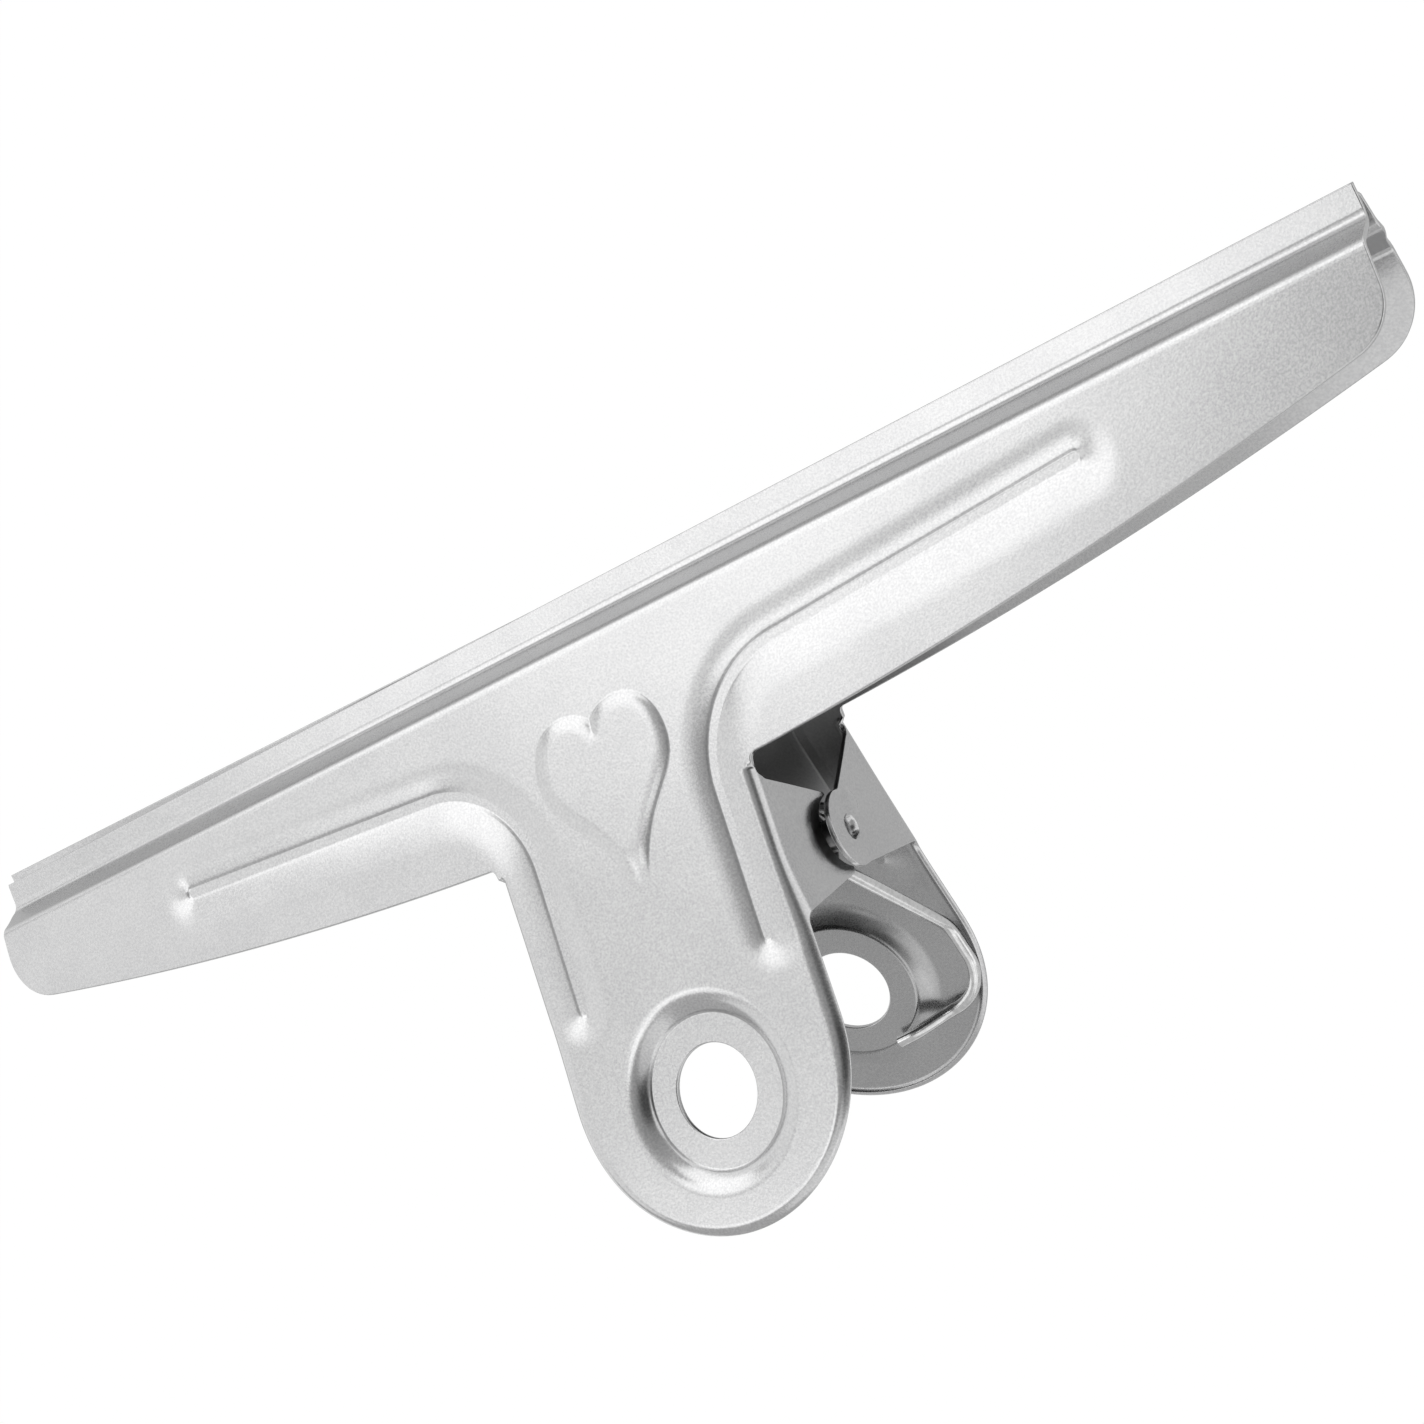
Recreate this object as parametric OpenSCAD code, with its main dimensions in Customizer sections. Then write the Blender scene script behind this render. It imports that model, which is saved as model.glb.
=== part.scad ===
// Wide bulldog clip: two pressed steel plates hinged on the coil of one wire spring.
// Both plates come from the same stamping; the rear one is turned half a turn.
// Millimetres. X runs along the jaw, Y from the handles to the jaw, Z up.
// The clip lies on its rear plate. Plate sizes are measured from the edge of the lip.

/* [Sheet] */
// Thickness of the steel sheet
sheet_t = 0.5; // [0.4:0.05:0.7]

/* [Jaw] */
// Length of the jaw
jaw_w = 145; // [110:1:180]
// Height of the flat lip
lip_h = 2.5; // [1.8:0.1:3]
// Gap left between the closed lips
lip_gap = 0.1; // [0.05:0.05:0.4]
// Distance to the foot of the step behind the lip
step_y = 4.8; // [4.4:0.1:6]
// Depth of the lip edge behind the outer face of the sheet
step_drop = 2.7; // [2.2:0.1:3.4]

/* [Wings] */
// Distance to the wing's lower edge beside the handle
wing_root = 19.4; // [18:0.1:20]
// Distance to the wing's lower edge at the jaw's end
wing_tip = 11.4; // [10:0.1:15]
// Radius of the wing's bowed lower edge
wing_edge_r = 420; // [200:10:800]
// Radius of the wing's rounded corner
wing_corner_r = 4; // [2:0.1:5]
// Radius of the inside corner between wing and handle
root_r = 1; // [0.5:0.1:1.2]

/* [Handle] */
// Width of the handle
handle_w = 27.3; // [26:0.1:32]
// Distance to the end of the handle
handle_len = 54.5; // [53.5:0.5:60]
// Depth of the rim turned in along the handle's edge
rim_depth = 1.4; // [1:0.1:2]
// Angle of each plate to the middle plane
splay = 14.2; // [13:0.1:16]

/* [Hang hole] */
// Diameter of the hang hole
hole_d = 7.6; // [5:0.1:9]
// Distance to the hole's centre
hole_y = 42.85; // [42:0.05:43.5]
// Diameter of the flat ring around the hole
ring_d = 12.6; // [11:0.1:13.2]
// Diameter of the dish at the outer face
dish_d = 15.4; // [14.4:0.1:16]
// Depth that the dish is pressed in
dish_depth = 1.1; // [0.6:0.1:1.3]

/* [Grooves] */
// Width of a stiffening groove
groove_w = 2.7; // [2:0.1:3]
// Depth that a groove is pressed in
groove_depth = 0.45; // [0.25:0.05:0.6]
// Distance from the middle of the clip to the groove's run down the handle
groove_x = 9.5; // [8.8:0.1:9.8]
// Distance to the groove's end on the handle
groove_end_y = 33; // [29:0.1:33.5]
// Radius of the groove's bend
groove_r = 9.5; // [7:0.1:10]
// Distance to the middle of the groove's bend
groove_bend_y = 21; // [20:0.1:22]
// Distance from the middle of the clip to the groove's end on the wing
groove_tip_x = 47.2; // [36:0.1:50]
// Distance to the groove's end on the wing
groove_tip_y = 9.5; // [8.5:0.1:10.5]

/* [Heart] */
// Width of the raised heart
heart_w = 12.6; // [9:0.1:13]
// Height of the heart from its lobes to its tip
heart_h = 15; // [12:0.1:15.5]
// Distance to the top of the lobes
heart_y = 10.7; // [9.5:0.1:11.5]
// Depth of the dip between the lobes
heart_dip = 1.55; // [1:0.05:2.5]
// Depth of the widest place below the lobes
heart_shoulder = 4.1; // [3.4:0.1:5]
// Width of the blunt tip
heart_tip_w = 1.4; // [0.8:0.1:2]
// Height that the heart stands proud
heart_raise = 0.4; // [0.2:0.05:0.45]

/* [Hinge] */
// Distance to the hinge axis along the middle plane
pivot_y = 27.1; // [26.5:0.1:27.7]
// Distance to the top of the ears
ear_top = 21; // [20.8:0.1:21.6]
// Distance to the foot of the ears
ear_foot = 32.6; // [32:0.1:33.5]
// Set-in of the inner ear from the handle's edge
ear_inset = 0.45; // [0.35:0.05:0.7]
// Outward lean of the outer ear
ear_lean = 4; // [3.5:0.5:6]
// Room between the coil and the round notch of the inner ear
notch_clear = 0.25; // [0.15:0.05:0.5]
// Width of the prongs beside the notch
prong_w = 0.35; // [0.25:0.05:0.6]
// Room between the outer ear's boss and the bore of the coil
boss_clear = 0.45; // [0.35:0.05:0.6]
// Length of the boss inside the coil
boss_hold = 0.9; // [0.6:0.1:1.6]

/* [Spring] */
// Diameter of the spring wire
wire_d = 1.1; // [0.9:0.05:1.2]
// Diameter of the coil to the middle of the wire
coil_d = 5; // [4.8:0.1:5.6]
// Room between one turn and the next
turn_gap = 0.5; // [0.45:0.05:1.5]
// Room between the end of the coil and the inner ear
side_gap = 0.25; // [0.15:0.05:0.5]
// Room between the legs and the sheet
leg_gap = 0.1; // [0.05:0.05:0.2]
// Distance from the hole up to where a leg meets the handle
leg_lead = 2; // [1:0.1:3]
// Length of the leg along the handle before its hook
leg_run = 3; // [2.5:0.1:3.5]
// Radius of the hook
hook_r = 4.3; // [3.8:0.1:4.6]
// Angle turned by the hook
hook_turn = 84; // [75:1:90]
// Distance from the middle of the clip to the wire's cut end
hook_end_x = 2.1; // [1:0.1:3]

/* [Hidden] */
$fn = 96;
sheet_colour = [0.86, 0.86, 0.87];
wire_colour = [0.72, 0.72, 0.74];
over = 1;
edge_steps = 10;
corner_steps = 8;

// Halves used all over
half_jaw = jaw_w / 2;
half_handle = handle_w / 2;
// Outer face of the lip, measured from the middle plane
lip_out = lip_gap / 2 + sheet_t;
// Middle of the handle's round end
end_y = handle_len - half_handle;
// Wall left beside a pressed form
press_wall = 0.4;
heart_hollow = 1 - 2 * press_wall / heart_w;
// Ears, boss and coil share the hinge axis
wire_r = wire_d / 2;
coil_r = coil_d / 2;
boss_r = coil_r - wire_r - boss_clear;
boss_hollow_r = boss_r - sheet_t;
notch_r = coil_r + wire_r + notch_clear;
inner_x = half_handle - ear_inset;
coil_x = inner_x - sheet_t - side_gap - wire_r;
boss_end = coil_x + wire_r - boss_hold;
// How far the ears' edges stand past the axis
prong_top = -0.3;
prong_low = -1;
tongue_edge = 0.5;
// How far the outer ear's root stands in from the handle's edge
ear_root = 0.05;

// A place on the plate in the middle frame: v along the plate, w out of its face
function mid(v, w) = [
    v * cos(splay) + (w + step_drop) * sin(splay),
    -v * sin(splay) + (w + step_drop) * cos(splay) + lip_out];
// A place given from the hinge axis, in the middle frame
function near_axis(y, z) = [y - pivot_y, z];
// The same place on the other plate
function turned(p) = [-p[0], p[1], -p[2]];
function unit(p) = p / norm(p);
function polar(r, a) = [r * cos(a), r * sin(a)];
function arc(c, r, from, to, steps) = [for (i = [0 : steps]) c + polar(r, from + (to - from) * i / steps)];
function reversed(list) = [for (i = [len(list) - 1 : -1 : 0]) list[i]];
function mirrored(list) = [for (p = reversed(list)) [-p[0], p[1]]];
function bezier(a, b, c, d) = [for (i = [0 : edge_steps]) let (s = i / edge_steps)
    pow(1 - s, 3) * a + 3 * s * pow(1 - s, 2) * b + 3 * s * s * (1 - s) * c + pow(s, 3) * d];
// Meeting point of two lines, each a point and a direction
function meet(p, d, q, e) = p + d * ((q - p) * [e[1], -e[0]]) / (d * [e[1], -e[0]]);

// Places a plate's own frame in the middle frame
module in_plate() {
    translate([0, 0, lip_out])
        rotate([-splay, 0, 0])
            translate([0, 0, step_drop])
                children();
}

// Runs a profile drawn in Y and Z along X
module along_x(from, length) {
    translate([from, 0, 0])
        rotate([90, 0, 90])
            linear_extrude(length)
                children();
}

module slab(low, high) {
    translate([0, 0, low])
        linear_extrude(high - low)
            children();
}

module both_sides() {
    children();
    mirror([1, 0, 0])
        children();
}

// Lays the clip on its rear plate, with the origin under its middle
module on_table() {
    translate([0, handle_len / 2, step_drop + lip_out * cos(splay) + heart_raise])
        rotate([-splay, 0, 0])
            children();
}

// Lip and step in the plate's own frame: one bent strip along the whole jaw
module lip_profile() {
    lip_way = [cos(splay), sin(splay)];
    lip_in = [-sin(splay), cos(splay)] * -sheet_t;
    edge = [0, -step_drop];
    bend = edge - lip_h * lip_way;
    foot = [-step_y, 0];
    rise = unit(foot - bend);
    wall = bend + [-rise[1], rise[0]] * sheet_t;
    bend_in = meet(edge + lip_in, lip_way, wall, rise);
    foot_in = meet([0, -sheet_t], [1, 0], wall, rise);
    tail = -step_y - 2 * sheet_t;
    polygon([edge, bend, foot, [tail, 0], [tail, -sheet_t], foot_in, bend_in, edge + lip_in]);
}

// Lower edge of the right wing, from the end of the jaw to the handle
function wing_edge() =
    let (root = [half_handle, -wing_root])
    let (tip = [half_jaw, -wing_tip])
    let (chord = tip - root)
    let (rise = sqrt(pow(wing_edge_r, 2) - pow(norm(chord) / 2, 2)))
    let (centre = (root + tip) / 2 + rise * unit([-chord[1], chord[0]]))
    let (corner_x = half_jaw - wing_corner_r)
    let (drop = sqrt(pow(wing_edge_r - wing_corner_r, 2) - pow(corner_x - centre[0], 2)))
    let (corner = [corner_x, centre[1] - drop])
    let (touch = atan2(-drop, corner_x - centre[0]))
    let (last = atan2(root[1] - centre[1], root[0] - centre[0]))
    concat(
        arc(corner, wing_corner_r, 0, touch, corner_steps),
        arc(centre, wing_edge_r, touch, last, edge_steps));

module handle_outline(inset) {
    reach = half_handle - inset;
    translate([-reach, -end_y])
        square([2 * reach, end_y - wing_root + sheet_t]);
    translate([0, -end_y])
        circle(reach);
}

// Fillet in the corner between wing and handle
module root_fillet() {
    middle = [half_handle + root_r, -wing_root - root_r];
    inside = [half_handle - sheet_t, -wing_root + sheet_t];
    polygon(concat(
        [[inside[0], middle[1]]],
        arc(middle, root_r, 180, 90, corner_steps),
        [[middle[0], inside[1]], inside]));
}

module plate_outline() {
    edge = concat([[half_jaw, -step_y]], wing_edge());
    difference() {
        union() {
            polygon(concat(edge, mirrored(edge)));
            handle_outline(0);
            both_sides()
                root_fillet();
        }
        translate([inner_x, -ear_foot])
            square([half_handle, ear_foot - ear_top]);
    }
}

// Rim turned in along the handle, below the ears
module rim_outline() {
    difference() {
        handle_outline(0);
        handle_outline(sheet_t);
        translate([-half_handle - over, -ear_foot - ear_inset])
            square([handle_w + 2 * over, ear_foot]);
    }
}

// One groove: down the handle, round the bend and out along the wing
module groove_outline(width) {
    bend = [groove_x + groove_r, -groove_bend_y];
    tip = [groove_tip_x, -groove_tip_y];
    reach = norm(tip - bend);
    lean = atan2(tip[1] - bend[1], tip[0] - bend[0]) + acos(groove_r / reach);
    polygon(concat(
        arc(bend, groove_r + width / 2, 180, lean, edge_steps),
        arc(tip, width / 2, lean, lean - 180, corner_steps),
        arc(bend, groove_r - width / 2, lean, 180, edge_steps),
        arc([groove_x, -groove_end_y], width / 2, 0, -180, corner_steps)));
}

module heart_outline() {
    half = heart_w / 2;
    dip = [0, -heart_y - heart_dip];
    wide = [half, -heart_y - heart_shoulder];
    tip = [heart_tip_w / 2, -heart_y - heart_h];
    crown = -(8 * heart_y + dip[1] + wide[1]) / 6;
    right = concat(
        bezier(dip, [0.19 * half, crown], [half, crown], wide),
        bezier(wide, [half, -heart_y - 0.513 * heart_h], [0.254 * half, -heart_y - 0.58 * heart_h], tip));
    polygon(concat(right, mirrored(right)));
}

// Dish around the hang hole, filled from its floor up
module dish(lower) {
    rotate_extrude()
        polygon([
            [0, -dish_depth - lower], [ring_d / 2, -dish_depth - lower],
            [dish_d / 2, -lower], [dish_d / 2, over], [0, over]]);
}

// Sheet of one plate with all its pressed forms, in the plate's own frame
module pressed_sheet() {
    difference() {
        union() {
            slab(-sheet_t, 0)
                plate_outline();
            along_x(-half_jaw, jaw_w)
                lip_profile();
            slab(-rim_depth, 0)
                rim_outline();
            slab(-sheet_t, heart_raise)
                heart_outline();
            both_sides()
                slab(-sheet_t - groove_depth, -groove_depth)
                    groove_outline(groove_w + 2 * press_wall);
            translate([0, -hole_y, 0])
                dish(sheet_t);
        }
        both_sides()
            slab(-groove_depth, over)
                groove_outline(groove_w);
        translate([0, -heart_y - heart_h / 2, 0])
            slab(-sheet_t - over, heart_raise - sheet_t)
                scale(heart_hollow)
                    translate([0, heart_y + heart_h / 2])
                        heart_outline();
        translate([0, -hole_y, 0])
            dish(0);
        translate([0, -hole_y, 0])
            cylinder(h = 4 * rim_depth, d = hole_d, center = true);
        translate([0, -hole_y, 0])
            cylinder(h = 2 * over, d = dish_d);
    }
}

// Straight ear; its round notch clears the coil and is open towards the other plate
module inner_ear() {
    difference() {
        along_x(inner_x - sheet_t, sheet_t)
            polygon([
                mid(-ear_top, -sheet_t / 2),
                near_axis(notch_r + prong_w, prong_top),
                near_axis(-notch_r - prong_w, prong_low),
                near_axis(-notch_r - 2 * prong_w, -prong_low),
                mid(-ear_foot, -sheet_t / 2)]);
        translate([0, -pivot_y, 0])
            rotate([0, 90, 0])
                cylinder(h = handle_w, r = notch_r);
    }
}

// Leaning ear that passes outside the other plate's inner ear, with a round tongue
module outer_ear_blank() {
    root = mid(-ear_top, -sheet_t / 2);
    translate([-half_handle + ear_root, root[0], root[1]])
        rotate(a = ear_lean, v = [0, cos(splay), -sin(splay)])
            translate([0, -root[0], -root[1]])
                along_x(0, sheet_t) {
                    polygon([
                        root,
                        near_axis(notch_r, tongue_edge),
                        near_axis(-notch_r, tongue_edge),
                        mid(-ear_foot, -sheet_t / 2)]);
                    translate([-pivot_y, 0])
                        circle(notch_r);
                }
}

// Hollow boss pressed in from the tongue; it runs through the notch into the coil
module outer_ear() {
    depth = -(near_axis(0, 0) - mid(0, -sheet_t / 2)) * [sin(splay), cos(splay)];
    tongue_x = half_handle - ear_root + depth * sin(ear_lean);
    difference() {
        union() {
            outer_ear_blank();
            translate([-tongue_x + sheet_t / 2, -pivot_y, 0])
                rotate([0, 90, 0])
                    cylinder(h = tongue_x - sheet_t / 2 - boss_end, r = boss_r);
        }
        translate([-tongue_x - over, -pivot_y, 0])
            rotate([0, 90, 0])
                cylinder(h = tongue_x + over - boss_end - sheet_t, r = boss_hollow_r);
    }
}

module clip_plate() {
    in_plate()
        pressed_sheet();
    inner_ear();
    outer_ear();
}

// Wire of the spring, right half: its leg lies on the rear handle
wire_w = -sheet_t - leg_gap - wire_r;
ring_w = wire_w - dish_depth;
function on_rear(x, v, w) = let (p = mid(v, w)) [x, p[0], -p[1]];
land = on_rear(coil_x, -hole_y + leg_lead, wire_w);
land_reach = norm([land[1] + pivot_y, land[2]]);
leave_a = atan2(land[2], land[1] + pivot_y) + 360 - acos(coil_r / land_reach);
whole_turns = floor(2 * coil_x / (wire_d + turn_gap) - leave_a / 180);
coil_sweep = 2 * leave_a + 360 * whole_turns;
coil_rings = ceil(coil_sweep / 45);
function on_coil(a, x) = [x, coil_r * cos(a) - pivot_y, coil_r * sin(a)];
helix = [for (i = [0 : coil_rings]) let (s = i / coil_rings)
    on_coil(-leave_a + coil_sweep * s, coil_x * (2 * s - 1))];

// The leg runs straight to the handle, bends flat, hooks round the dish and climbs onto its ring
land_bend = 1.2;
leg_from = on_coil(leave_a, coil_x);
leg_way = unit(land - leg_from);
flat_way = unit(on_rear(0, -1, 0) - on_rear(0, 0, 0));
hook_v = -hole_y + leg_lead - leg_run;
hook_out = [coil_x - hook_r, hook_v] + polar(hook_r, -hook_turn);
hook_way = [-sin(hook_turn), -cos(hook_turn)];
tail = (hook_out[0] - hook_end_x) / sin(hook_turn);
climb = tail - 1.4 * wire_d;
tail_top = hook_out + climb * hook_way;
tail_end = hook_out + tail * hook_way;
leg_lengths = [0.15, 0.4, 0.7];
leg = concat(
    [for (s = leg_lengths) leg_from + s * (land - leg_from)],
    [for (s = [0 : 0.25 : 1])
        land - pow(1 - s, 2) * land_bend * leg_way + pow(s, 2) * land_bend * flat_way],
    [for (p = arc([coil_x - hook_r, hook_v], hook_r, 0, -hook_turn, 7)) on_rear(p[0], p[1], wire_w)],
    [on_rear(tail_top[0], tail_top[1], ring_w), on_rear(tail_end[0], tail_end[1], ring_w)]);
wire_path = concat([for (p = reversed(leg)) turned(p)], helix, leg);

// Least room between two lengths of the wire that are not neighbours
wire_self_gap = min([
    for (i = [0 : len(wire_path) - 7])
        for (j = [i + 6 : len(wire_path) - 1])
            norm(wire_path[i] - wire_path[j])]) - wire_d;
echo(whole_turns = whole_turns, wire_self_gap = wire_self_gap);

// Round tube along a path; each ring keeps the turn of the ring before it
module tube(path, r, sides) {
    last = len(path) - 1;
    way = [for (i = [0 : last]) unit(path[min(i + 1, last)] - path[max(i - 1, 0)])];
    frames = [
        for (i = 0, n = unit(cross(way[0], [0, 0, 1])); i <= last;
            i = i + 1, n = i > last ? n : unit(n - way[i] * (n * way[i])))
            [n, cross(way[i], n)]];
    rings = [for (i = [0 : last]) for (k = [0 : sides - 1]) let (c = polar(r, 360 * k / sides))
        path[i] + c[0] * frames[i][0] + c[1] * frames[i][1]];
    walls = [for (i = [0 : last - 1]) for (k = [0 : sides - 1])
        let (a = i * sides + k)
        let (b = i * sides + (k + 1) % sides)
        each [[a, a + sides, b], [b, a + sides, b + sides]]];
    caps = [for (k = [1 : sides - 2]) each [
        [0, k, k + 1],
        [last * sides, last * sides + k + 1, last * sides + k]]];
    polyhedron(concat(rings), concat(walls, caps));
}

module front_plate() {
    color(sheet_colour)
        on_table()
            clip_plate();
}

module rear_plate() {
    color(sheet_colour)
        on_table()
            rotate([0, 180, 0])
                clip_plate();
}

module spring() {
    color(wire_colour)
        on_table()
            tube(wire_path, wire_r, 6);
}

front_plate();
rear_plate();
spring();
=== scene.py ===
import math
import bpy
import numpy as np
from mathutils import Matrix, Vector
from mathutils.geometry import delaunay_2d_cdt
from mathutils.kdtree import KDTree


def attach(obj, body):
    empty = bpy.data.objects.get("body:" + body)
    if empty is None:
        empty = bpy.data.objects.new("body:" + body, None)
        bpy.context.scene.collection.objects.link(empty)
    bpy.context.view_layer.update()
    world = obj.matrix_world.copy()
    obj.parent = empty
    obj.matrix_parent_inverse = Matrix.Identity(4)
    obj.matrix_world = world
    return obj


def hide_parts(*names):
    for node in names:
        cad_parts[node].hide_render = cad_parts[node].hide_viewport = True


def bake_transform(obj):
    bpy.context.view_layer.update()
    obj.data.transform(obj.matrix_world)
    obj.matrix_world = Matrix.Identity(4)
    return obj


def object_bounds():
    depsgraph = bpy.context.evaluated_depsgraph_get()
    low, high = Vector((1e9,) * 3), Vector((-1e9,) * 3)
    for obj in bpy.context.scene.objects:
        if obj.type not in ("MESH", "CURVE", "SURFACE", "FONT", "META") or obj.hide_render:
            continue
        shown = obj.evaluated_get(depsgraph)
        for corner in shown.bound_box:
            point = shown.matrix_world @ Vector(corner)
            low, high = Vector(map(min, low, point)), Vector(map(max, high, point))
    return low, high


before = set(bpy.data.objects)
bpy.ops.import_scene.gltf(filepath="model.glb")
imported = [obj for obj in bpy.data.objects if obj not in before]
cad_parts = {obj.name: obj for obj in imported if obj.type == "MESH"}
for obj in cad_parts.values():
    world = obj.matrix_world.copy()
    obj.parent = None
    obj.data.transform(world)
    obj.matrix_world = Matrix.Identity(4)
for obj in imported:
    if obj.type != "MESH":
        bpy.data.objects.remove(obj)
cad_low, cad_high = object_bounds()

# Studio: a white table in a pale light tent with a dark opening, soft boxes round
# it, and the camera where the photograph was taken from. The clip lies on the
# table, so the picture, which is square, is turned on the lens axis.
MM = 0.001
CAMERA_EYE = Vector((121.33, 62.64, 191.30)) * MM
CAMERA_AIM = Vector((5.282, 12.759, 3.963)) * MM
CAMERA_ROLL = math.radians(-142.855)
CAMERA_LENS = 68.793
CAMERA_SENSOR = 36
CAMERA_NEAR = 0.01
FLOOR_HALF = 1.2
FLOOR_DROP = 0.2 * MM
TABLE_GREY = 0.12
TABLE_GLOW = 1.05
TABLE_LIFTED = 0.95
# The floor's glow as the metal mirrors it, dimmer near the clip: a painted shadow.
SHEEN_GLOW = 1.22
SHEEN_NEAR = 0.5
SHEEN_RISE = 0.45
SHEEN_EDGE = (1.0, 1.35)
SHEEN_PER_METRE = (12.5, 18.0, 0.0)
TENT_LEVEL = 0.59
OPENING_WAY = (0.549, 0.28, 0.788)
OPENING_EDGE = (26, 6)
OPENING_DROP = 0.36
SHADE_EDGE = (52, 30)
SHADE_DROP = 0.17

scene = bpy.context.scene
scene.view_settings.view_transform = "Standard"


class Value:
    """A shader socket that takes part in Python arithmetic."""

    def __init__(self, nodes, socket):
        self.nodes = nodes
        self.socket = socket

    def maths(self, operation, *others):
        return self.nodes.add("ShaderNodeMath", {"operation": operation}, [self, *others])

    def __add__(self, other):
        return self.maths("ADD", other)

    __radd__ = __add__

    def __mul__(self, other):
        return self.maths("MULTIPLY", other)

    __rmul__ = __mul__

    def __sub__(self, other):
        return self.maths("SUBTRACT", other)

    def __rsub__(self, other):
        return self.nodes.add("ShaderNodeMath", {"operation": "SUBTRACT"}, [other, self])

    def over(self, low, high):
        """0 below low, 1 above high, smooth between."""
        ramp = {"interpolation_type": "SMOOTHSTEP"}
        sockets = {"Value": self, "From Min": low, "From Max": high}
        return self.nodes.add("ShaderNodeMapRange", ramp, sockets)


class Finish:
    """The nodes of a material or of the tent; add() makes any node from its type, settings and sockets."""

    def __init__(self, owner):
        owner.use_nodes = True
        self.owner = owner
        self.tree = owner.node_tree
        self.tree.nodes.clear()

    def add(self, kind, settings=None, sockets=None, output=0):
        node = self.tree.nodes.new(kind)
        for key, value in (settings or {}).items():
            setattr(node, key, value)
        pairs = sockets.items() if isinstance(sockets, dict) else enumerate(sockets or [])
        for key, value in pairs:
            if isinstance(value, Value):
                self.tree.links.new(value.socket, node.inputs[key])
            else:
                node.inputs[key].default_value = value
        return Value(self, node.outputs[output]) if len(node.outputs) else None

    def output(self, shader, kind="ShaderNodeOutputMaterial"):
        self.add(kind, {}, {"Surface": shader})
        return self.owner


def white_table():
    """Lit by the boxes, so it keeps the shadow, and lifted towards white where it is seen; as the metal mirrors it,
    it glows, dimmer near the clip as a painted shadow.
    """
    paper = Finish(bpy.data.materials.new("white_table"))
    seen, glossy, through = [paper.add("ShaderNodeLightPath", output=name)
                             for name in ("Is Camera Ray", "Is Glossy Ray", "Is Transmission Ray")]
    place = paper.add("ShaderNodeTexCoord", output="Object")
    around = paper.add("ShaderNodeVectorMath", {"operation": "MULTIPLY"}, [place, SHEEN_PER_METRE])
    away = paper.add("ShaderNodeVectorMath", {"operation": "LENGTH"}, [around], output="Value")
    # Painted shadow: the glow seen in reflections is weaker close to the clip.
    mirrored = glossy * (SHEEN_NEAR + SHEEN_RISE * away.over(*SHEEN_EDGE))
    shown = (seen * TABLE_LIFTED).maths("MAXIMUM", through * TABLE_LIFTED)
    matt = paper.add("ShaderNodeBsdfDiffuse", {}, {"Color": (TABLE_GREY, TABLE_GREY, TABLE_GREY, 1)})
    glow = paper.add("ShaderNodeEmission", {}, {"Color": (1, 1, 1, 1), "Strength": TABLE_GLOW})
    sheen = paper.add("ShaderNodeEmission", {}, {"Color": (1, 1, 1, 1), "Strength": SHEEN_GLOW})
    lifted = paper.add("ShaderNodeMixShader", {}, [shown, matt, glow])
    return paper.output(paper.add("ShaderNodeMixShader", {}, [mirrored, lifted, sheen]))


def light_tent():
    """Even pale walls, with a dark round opening on the camera's side; white where they are seen directly."""
    tent = Finish(bpy.data.worlds.new("light_tent"))
    toward = tent.add("ShaderNodeTexCoord", output="Generated")
    opening = tent.add("ShaderNodeVectorMath", {"operation": "DOT_PRODUCT"}, [toward, OPENING_WAY], output="Value")
    level = TENT_LEVEL
    for drop, edge in ((OPENING_DROP, OPENING_EDGE), (SHADE_DROP, SHADE_EDGE)):
        level = level - drop * opening.over(*(math.cos(math.radians(a)) for a in edge))
    seen, through = [tent.add("ShaderNodeLightPath", output=name)
                     for name in ("Is Camera Ray", "Is Transmission Ray")]
    level = level.maths("MAXIMUM", seen.maths("MAXIMUM", through))
    glow = tent.add("ShaderNodeBackground", {}, {"Color": (1, 1, 1, 1), "Strength": level})
    return tent.output(glow, "ShaderNodeOutputWorld")


def soft_box(name, toward, distance, spread, glow):
    """A panel facing the clip: its azimuth and elevation, how wide and high it looks, and how bright."""
    azimuth, elevation = (math.radians(a) for a in toward)
    width, height = (2 * distance * math.tan(math.radians(a) / 2) for a in spread)
    light = bpy.data.lights.new(name, "AREA")
    light.shape = "RECTANGLE"
    light.size = width
    light.size_y = height
    light.energy = math.pi * width * height * glow
    lamp = bpy.data.objects.new(name, light)
    lamp.location = distance * Vector((math.cos(elevation) * math.cos(azimuth),
                                       math.cos(elevation) * math.sin(azimuth), math.sin(elevation)))
    lamp.rotation_euler = (-lamp.location).to_track_quat("-Z", "Y").to_euler()
    scene.collection.objects.link(lamp)


floor_mesh = bpy.data.meshes.new("table")
floor_mesh.from_pydata(
    [(x * FLOOR_HALF, y * FLOOR_HALF, cad_low[2] - FLOOR_DROP) for x, y in ((-1, -1), (1, -1), (1, 1), (-1, 1))],
    [], [(0, 1, 2, 3)])
floor_mesh.materials.append(white_table())
floor = bpy.data.objects.new("table", floor_mesh)
scene.collection.objects.link(floor)

scene.world = light_tent()
soft_box("back_box", (97, 9), 2.0, (24, 38), 1.02)
soft_box("tall_box", (121, 16), 2.0, (24, 52), 1.16)
soft_box("fill_box", (134, 47), 2.0, (28, 13), 0.42)
soft_box("upper_box", (139, 64), 2.0, (17, 15), 1.27)
soft_box("slant_box", (154, 50.5), 2.0, (14, 12), 0.98)
soft_box("left_box", (162, 21), 0.7, (46, 39), 0.52)
soft_box("right_box", (0, 14), 0.7, (80, 34), 0.63)
soft_box("front_box", (-64, 36), 0.7, (46, 36), 0.47)
soft_box("top_box", (-80, 72), 0.9, (46, 46), 0.43)

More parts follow.
